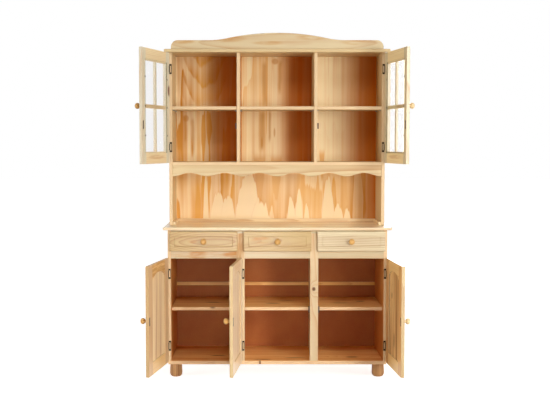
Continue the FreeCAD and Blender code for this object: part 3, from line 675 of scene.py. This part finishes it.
# The knobs of the right-hand doors face the key lamp and are painted paler, as painted light; the others
# keep the warm colour.
warm_knob = {"pale": srgb(216, 170, 98), "dark": srgb(164, 106, 46), **turned}
knob_painted_light = {"pale": srgb(246, 222, 174), "dark": srgb(220, 176, 116), **turned}
for number, (side, looks) in enumerate(drawer_looks.items()):
    node = "drawer_" + side
    dress_in_pine(node + "_front", node + "_front_pine", "xzy", 23.4 + 1.9 * number, ring=0.012, streaks=0.8,
                  dark=drawer_dark, **looks)
    dress_in_pine(node + "_box", node + "_box_pine", "yzx", 30.2 + number, ring=0.006)
    dress_in_pine(node + "_knob", node + "_knob_pine", "yxz", 33.5 + number, **warm_knob)


# The doors hang on the sides and on the left divider: two pine stiles and two rails, jointed and glued.
# A turned knob is screwed to each. A door's own frame starts at its hinge pin:
# across runs to its free edge, and inward runs into the carcass when it is shut.
class Door:
    def __init__(self, joint):
        self.body = joint["child"]
        self.hand = joint["axis"][2]
        self.turn = math.radians(self.hand * -joint["range_deg"][0])
        low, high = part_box(self.body + "_stiles")
        self.half = (high.z - low.z) / 2
        self.pin = Vector((joint["pos_m"][0], joint["pos_m"][1], (low.z + high.z) / 2))

    def point(self, across, inward, height):
        """A place on the door: across from the pin, towards the carcass when shut, above its middle."""
        flat = Vector((-self.hand * across, inward, height))
        return self.pin + Matrix.Rotation(self.turn, 3, "Z") @ flat

    def inward(self):
        return Matrix.Rotation(self.turn, 3, "Z") @ Vector((0, 1, 0))


doors = {}
for joint in frame["joints"]:
    if joint["type"] == "hinge":
        doors[joint["child"]] = Door(joint)

# The colours of each door: the edges of its stiles, then the inner faces of stiles, rails and panel. Most
# are painted light: lighter or darker than the pine as the lamps and sheen fall on them, and the inner faces
# of the lower right door are warm for shade.
door_looks = {
    "door_lower_left": {"edge": srgb(202, 172, 126), "stile": srgb(230, 196, 152),
                        "rail": srgb(252, 214, 150), "panel": srgb(254, 229, 184), "tone": 0.0,
                        "rail_tone": 0.0},
    "door_lower_middle": {"edge": pine_pale, "stile": srgb(254, 234, 200), "rail": srgb(254, 230, 190),
                          "panel": srgb(254, 234, 200), "tone": -0.05, "rail_tone": 0.0},
    "door_lower_right": {"edge": pine_pale, "stile": srgb(242, 194, 127), "rail": srgb(252, 214, 145),
                         "panel": srgb(252, 214, 147), "tone": -0.14, "rail_tone": -0.28},
    "door_upper_left": {"edge": srgb(223, 217, 192), "stile": srgb(224, 220, 194),
                        "rail": srgb(244, 226, 182), "tone": -0.05, "rail_tone": 0.0},
    "door_upper_right": {"edge": srgb(222, 213, 180), "stile": srgb(222, 213, 178),
                         "rail": srgb(255, 234, 180), "tone": -0.05, "rail_tone": -0.20}}
plain_streaks = 0.6
door_streaks = {"door_lower_right": 2.2}
door_darks = {"door_lower_right": srgb(168, 102, 42)}
stile_knots = {"door_upper_left": [(0.094, 0.012, 0.0, 0.032, 0.018)]}
door_centre = 0.19
for number, (name, door) in enumerate(doors.items()):
    seed = 40.3 + 3.1 * number
    looks = door_looks[name]
    middle = -door.hand * door_centre
    low_stain = (middle, -door.half + 0.036, 0.0, 0.12, 0.013, 0.38)
    top_stain = (middle, door.half - 0.05, 0.0, 0.26, 0.09, 0.6)
    rail_stains = {"door_lower_left": [top_stain], "door_upper_left": [low_stain],
                   "door_upper_right": [low_stain]}
    shared = {"turn": door.turn, "ring": 0.009, "streaks": door_streaks.get(name, plain_streaks),
              "dark": door_darks.get(name, pine_dark)}
    # The inner faces of stiles and rails take the door's painted light.
    dress(name + "_stiles", pine(name + "_stile_pine", door.pin, "zxy", seed, heart=(0.0, 0.19, 0.08),
                                 tone=looks["tone"], knots=stile_knots.get(name, []), pale=looks["edge"],
                                 aged_face=(door.inward(), looks["stile"]), **shared))
    dress(name + "_rails", pine(name + "_rail_pine", door.pin, "xzy", seed + 1.0, heart=(0.0, 0.0, 0.04),
                                tone=looks["rail_tone"], stains=rail_stains.get(name, []),
                                aged_face=(door.inward(), looks["rail"]), **shared))
    # Knobs of the right-hand doors take the paler painted light.
    dress_in_pine(name + "_knob", name + "_knob_pine", "yxz", seed + 2.0, turn=door.turn,
                  **(knob_painted_light if name.endswith("right") else warm_knob))


# The lower doors are filled by a pine panel under an arched top rail.
# Each panel is glued up from narrow staves and floats in a groove.
panel_darks = {"left": srgb(186, 122, 62), "middle": srgb(196, 140, 86), "right": srgb(154, 88, 34)}
for number, (side, panel_dark) in enumerate(panel_darks.items()):
    name = "door_lower_" + side
    door = doors[name]
    panel_knots = []
    if side == "right":
        panel_knots = [(0.10, -door.hand * 0.13, 0.0, 0.020, 0.008),
                       (-0.13, -door.hand * 0.19, 0.0, 0.045, 0.010)]
    # The panel's inner face takes the door's painted light.
    dress(name + "_panel", pine(name + "_panel_pine", door.pin, "zxy", 60.7 + 2.3 * number, turn=door.turn,
                                staves=0.062, ring=0.022, tone=door_looks[name]["tone"],
                                streaks=2 * door_streaks.get(name, plain_streaks), knots=panel_knots,
                                dark=panel_dark, aged_face=(door.inward(), door_looks[name]["panel"])))


# The upper doors are glazed with one pane each, held by clips against the crossed glazing bars.
# The pane is clear float glass; its cut edges look dark olive.
glass_clear = srgb(255, 255, 255)
glass_edge = srgb(112, 110, 84)
pane_alpha = 0.12
for name in ("door_upper_left", "door_upper_right"):
    glass, tree = new_material(name + "_glass")
    on_edge = fade(abs(faces(tree, doors[name].inward())), 0.8, 0.4)
    set_surface(tree, {"Transmission Weight": 1.0, "IOR": 1.2, "Roughness": 0.0,
                       "Base Color": blend(on_edge, glass_clear, glass_edge),
                       "Alpha": on_edge * (1 - pane_alpha) + pane_alpha})
    dress(name + "_glass", glass)


# Flush hinges of bronzed steel: a C-shaped leaf on the carcass, a leaf on the door's back, and a pin.
# Farther from the pin, the strike plates on the free stiles and the clips of the panes are grey zinc.
# The leaves and plates are screwed to the face of the wood.
bronze_brown = srgb(44, 27, 14)
zinc = srgb(150, 140, 126)
bronze = metal("bronzed_metal", bronze_brown, 0.5, 0.4)
dress("hinge_frame_leaves", bronze)
dress("hinge_pins", bronze)
for name, door in doors.items():
    fitting = metal(name + "_fittings", bronze_brown, 0.5, 0.4)
    tree = fitting.node_tree
    bronze_link = tree.nodes["Principled BSDF"].inputs["Base Color"].links[0]
    across, _, _ = parts_of(grain_vector(tree, door.pin, door.turn, "xyz"))
    past_hinge = fade(abs(across), 0.025, 0.030)
    set_surface(tree, {"Base Color": blend(past_hinge, Measure(tree, bronze_link.from_socket), zinc)})
    dress(name + "_hardware", fitting)


# Small countersunk screws with a crossed slot fix the hinge leaves and the strike plates.
# They are bronzed steel, and their heads stand nearly flush, so that the doors shut over them.
screw_tree, given, result = new_group(
    "crossed_screws", "GeometryNodeTree",
    {"Geometry": "Geometry", "Radius": "Float", "Height": "Float", "Finish": "Material"},
    {"Geometry": "Geometry"})
head = place(screw_tree, "GeometryNodeMeshCone", {
    "Vertices": 16, "Radius Top": given["Radius"] * 0.7, "Radius Bottom": given["Radius"],
    "Depth": given["Height"]})["Mesh"]
slot_length = given["Radius"] * 1.1
slot_width = given["Radius"] * 0.25
lift = vector_of(screw_tree, 0.0, 0.0, given["Height"])
cuts = []
for slot_x, slot_y in ((slot_length, slot_width), (slot_width, slot_length)):
    size = vector_of(screw_tree, slot_x, slot_y, given["Height"])
    cutter = place(screw_tree, "GeometryNodeMeshCube", {"Size": size})["Mesh"]
    cuts.append(place(screw_tree, "GeometryNodeTransform", {"Geometry": cutter, "Translation": lift})[0])
slotted = place(screw_tree, "GeometryNodeMeshBoolean", {"Mesh 1": head, "Mesh 2": cuts},
                operation="DIFFERENCE")[0]
facing = place(screw_tree, "GeometryNodeInputNamedAttribute", {"Name": "facing"},
               data_type="FLOAT_VECTOR")[0]
aimed = place(screw_tree, "FunctionNodeAlignRotationToVector", {"Vector": facing}, axis="Z")[0]
set_out = place(screw_tree, "GeometryNodeInstanceOnPoints", {
    "Points": given["Geometry"], "Instance": slotted, "Rotation": aimed})[0]


def finish_solid(instances, finish, output):
    """Makes the instances solid and gives them their finish."""
    solid = place(instances.tree, "GeometryNodeRealizeInstances", {0: instances})[0]
    place(instances.tree, "GeometryNodeSetMaterial", {"Geometry": solid, "Material": finish})[0].into(output)


finish_solid(set_out, given["Finish"], result["Geometry"])


def run_tree(name, mesh, tree, values):
    """Runs a node tree over a mesh and returns its result as a plain mesh object."""
    carrier = bpy.data.objects.new(name + "_carrier", mesh)
    bpy.context.scene.collection.objects.link(carrier)
    modifier = carrier.modifiers.new("tree", "NODES")
    modifier.node_group = tree
    for item in tree.interface.items_tree:
        if item.item_type == "SOCKET" and item.in_out == "INPUT" and item.name in values:
            modifier[item.identifier] = values[item.name]
    depsgraph = bpy.context.evaluated_depsgraph_get()
    result_mesh = bpy.data.meshes.new_from_object(carrier.evaluated_get(depsgraph), depsgraph=depsgraph)
    carrier.modifiers.remove(modifier)
    bpy.data.objects.remove(carrier)
    piece = bpy.data.objects.new(name, result_mesh)
    bpy.context.scene.collection.objects.link(piece)
    return piece


screw_radius = 0.0026
screw_height = 0.0002


def screws(name, body, sites):
    """Sets a screw at each site, which is a place and the way its head faces."""
    mesh = bpy.data.meshes.new(name + "_sites")
    mesh.from_pydata([site for site, _ in sites], [], [])
    facing_ways = mesh.attributes.new("facing", "FLOAT_VECTOR", "POINT")
    for number, (_, way) in enumerate(sites):
        facing_ways.data[number].vector = way
    piece = run_tree(name, mesh, screw_tree, {
        "Radius": screw_radius, "Height": screw_height, "Finish": bronze})
    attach(piece, body)


hinge_inset = 0.088
leaf_thickness = 0.0012
door_gap = 0.0015
pin_standoff = 0.0037
frame_leaf_middle = 0.0085
door_leaf_middle = 0.0070
strike_across = 0.3669
upper_strike_height = -0.098
frame_screw_step = 0.023
door_screw_step = 0.012
strike_screw_step = 0.015
frame_leaf_face = pin_standoff - leaf_thickness
door_leaf_face = pin_standoff - door_gap + leaf_thickness
frame_sites = []
for name, door in doors.items():
    sites = []
    for hinge_height in (hinge_inset - door.half, door.half - hinge_inset):
        for step in (-frame_screw_step, frame_screw_step):
            place_on_frame = Vector((-door.hand * frame_leaf_middle, frame_leaf_face, hinge_height + step))
            frame_sites.append((door.pin + place_on_frame, Vector((0, -1, 0))))
        for step in (-door_screw_step, door_screw_step):
            sites.append((door.point(door_leaf_middle, door_leaf_face, hinge_height + step), door.inward()))
    strike_height = upper_strike_height if name.startswith("door_upper") else 0.0
    for step in (-strike_screw_step, strike_screw_step):
        sites.append((door.point(strike_across, door_leaf_face, strike_height + step), door.inward()))
    screws(name + "_screws", name, sites)
screws("carcass_screws", "carcass", frame_sites)


# Small steel pins hold the back sheets to the edges of the boards in front of them.
# They are set in rows round each sheet, with their flat heads just proud of it.
pin_tree, given, result = new_group(
    "pin_rows", "GeometryNodeTree",
    {"Geometry": "Geometry", "Spacing": "Float", "Radius": "Float", "Height": "Float", "Finish": "Material"},
    {"Geometry": "Geometry"})
rows = place(pin_tree, "GeometryNodeMeshToCurve", {"Mesh": given["Geometry"]})[0]
row_points = place(pin_tree, "GeometryNodeResampleCurve", {"Curve": rows, "Length": given["Spacing"]},
                   mode="LENGTH")[0]
pin_head = place(pin_tree, "GeometryNodeMeshCylinder", {
    "Vertices": 12, "Radius": given["Radius"], "Depth": given["Height"]})["Mesh"]
pins = place(pin_tree, "GeometryNodeInstanceOnPoints", {
    "Points": row_points, "Instance": pin_head, "Rotation": (math.pi / 2, 0, 0)})[0]
finish_solid(pins, given["Finish"], result["Geometry"])

pin_inset = 0.007
pin_rows = []
for node in ("base_back_lower", "base_back_upper", "hutch_back"):
    low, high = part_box(node)
    left, right = low.x + pin_inset, high.x - pin_inset
    for height in (low.z + pin_inset, high.z - pin_inset):
        pin_rows.append(((left, high.y, height), (right, high.y, height)))
    for row_x in (left, right):
        pin_rows.append(((row_x, high.y, low.z + 3 * pin_inset), (row_x, high.y, high.z - 3 * pin_inset)))
pin_mesh = bpy.data.meshes.new("pin_rows")
pin_points = [point for row in pin_rows for point in row]
pin_mesh.from_pydata(pin_points, [(2 * n, 2 * n + 1) for n in range(len(pin_rows))], [])
pin_steel = metal("panel_pin_steel", srgb(150, 148, 142), 0.4, 0.4)
panel_pins = run_tree("panel_pins", pin_mesh, pin_tree, {
    "Spacing": 0.095, "Radius": 0.0018, "Height": 0.0004, "Finish": pin_steel})
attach(panel_pins, "carcass")


# Magnetic catches stand on the sides of the bays, behind the strike plates.
# They are brown moulded plastic with a faint grain, and are screwed on.
catch_brown = srgb(74, 52, 38)
catch_pale = srgb(98, 72, 54)
catch_plastic, tree = new_material("catch_plastic")
moulded = stretched_noise(on_surface(tree, "Object"), even(500.0), 1.0, 3.0)
set_surface(tree, {"Base Color": blend(moulded, catch_brown, catch_pale),
                   "Roughness": moulded * 0.2 + 0.35})
dress("magnetic_catches", catch_plastic)


# The floor is a wide white sheet that keeps the soft shadow of the piece.
# The room round it looks white too, and gives a weak warm light.
def seen_directly(tree):
    """1 for rays from the camera, from a gloss or through glass."""
    path = place(tree, "ShaderNodeLightPath")
    direct = path["Is Camera Ray"].calc("MAXIMUM", path["Is Glossy Ray"])
    return direct.calc("MAXIMUM", path["Is Transmission Ray"])


floor_half = 30.0
floor_mesh = bpy.data.meshes.new("floor")
floor_mesh.from_pydata([(-floor_half, -floor_half, 0), (floor_half, -floor_half, 0),
                        (floor_half, floor_half, 0), (-floor_half, floor_half, 0)], [], [(0, 1, 2, 3)])
floor = bpy.data.objects.new("floor", floor_mesh)
bpy.context.scene.collection.objects.link(floor)
floor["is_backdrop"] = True
floor_grey = (0.7, 0.7, 0.7, 1.0)
floor_white, tree = new_material("floor_white")
tree.nodes.remove(tree.nodes["Principled BSDF"])
from_piece = vector_calc("LENGTH", on_surface(tree, "Object"))["Value"]
floor_glow = fade(from_piece, 1.0, 4.0, 0.84, 1.0)
matt = place(tree, "ShaderNodeBsdfDiffuse", {"Color": floor_grey})[0]
glow = place(tree, "ShaderNodeEmission", {"Strength": seen_directly(tree) * floor_glow})[0]
lit = place(tree, "ShaderNodeAddShader", {0: matt, 1: glow})[0]
lit.into(tree.nodes["Material Output"].inputs["Surface"])
floor_mesh.materials.append(floor_white)

room_light = 0.14
room_warmth = (1.0, 0.48, 0.18, 1.0)
white = (1.0, 1.0, 1.0, 1.0)
room = bpy.data.worlds.new("room")
bpy.context.scene.world = room
room.use_nodes = True
tree = room.node_tree
sky_node = tree.nodes["Background"]
fill(tree, sky_node, {"Color": room_warmth, "Strength": room_light})
sky = Measure(tree, sky_node.outputs[0])
backdrop = place(tree, "ShaderNodeBackground", {"Color": white, "Strength": 1.0})[0]
either = place(tree, "ShaderNodeMixShader", {0: seen_directly(tree), 1: sky, 2: backdrop})[0]
either.into(tree.nodes["World Output"].inputs["Surface"])


# Soft lamps stand round the piece: the key at the front right, one at each side and one above.
# A weak broad one low in front lights the bays of the base, and one behind lights the back.
def softbox(name, power, width, height, stand, aim, spread=180):
    lamp = bpy.data.lights.new(name, "AREA")
    lamp.shape = "RECTANGLE"
    lamp.size = width
    lamp.size_y = height
    lamp.energy = power
    lamp.spread = math.radians(spread)
    made = bpy.data.objects.new(name, lamp)
    made.location = stand
    made.rotation_euler = (Vector(aim) - Vector(stand)).to_track_quat("-Z", "Y").to_euler()
    bpy.context.scene.collection.objects.link(made)


key_distance = 4.6
key_side = math.radians(31)
key_stand = (key_distance * math.sin(key_side), -key_distance * math.cos(key_side), 1.5)
softbox("key_softbox", 106.0, 0.9, 2.2, key_stand, (0.0, 0.0, 1.0))
softbox("side_softbox", 58.0, 1.2, 2.2, (-3.6, -1.6, 1.1), (0.5, -0.35, 1.0))
softbox("top_softbox", 32.0, 1.6, 1.0, (0.3, -3.0, 3.6), (0.0, 0.0, 0.7))
softbox("door_softbox", 26.0, 0.8, 1.8, (3.4, -2.2, 1.0), (-0.6, -0.4, 0.9))
softbox("front_softbox", 1.5, 1.0, 0.6, (-0.30, -4.4, 0.42), (-0.32, 0.0, 0.30), spread=32)
softbox("back_softbox", 75.0, 1.8, 2.0, (1.2, 4.4, 1.9), (0.0, 0.2, 1.0))


# The camera stands a little to the left of the middle, at about two thirds of the piece's height.
# It looks straight at the back of the piece and slightly down.
picture_width = 550
focal_pixels = 982.3
axis_pixel = 255.6
tilt_down = 3.62
camera_data = bpy.data.cameras.new("camera")
camera_data.sensor_width = 36.0
camera_data.lens = focal_pixels / picture_width * camera_data.sensor_width
camera_data.shift_x = (picture_width / 2 - axis_pixel) / picture_width
camera = bpy.data.objects.new("camera", camera_data)
camera.location = (-0.119, -5.543, 1.286)
camera.rotation_euler = (math.radians(90 - tilt_down), 0, 0)
bpy.context.scene.collection.objects.link(camera)
bpy.context.scene.camera = camera
bpy.context.scene.view_settings.view_transform = "Standard"

low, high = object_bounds()
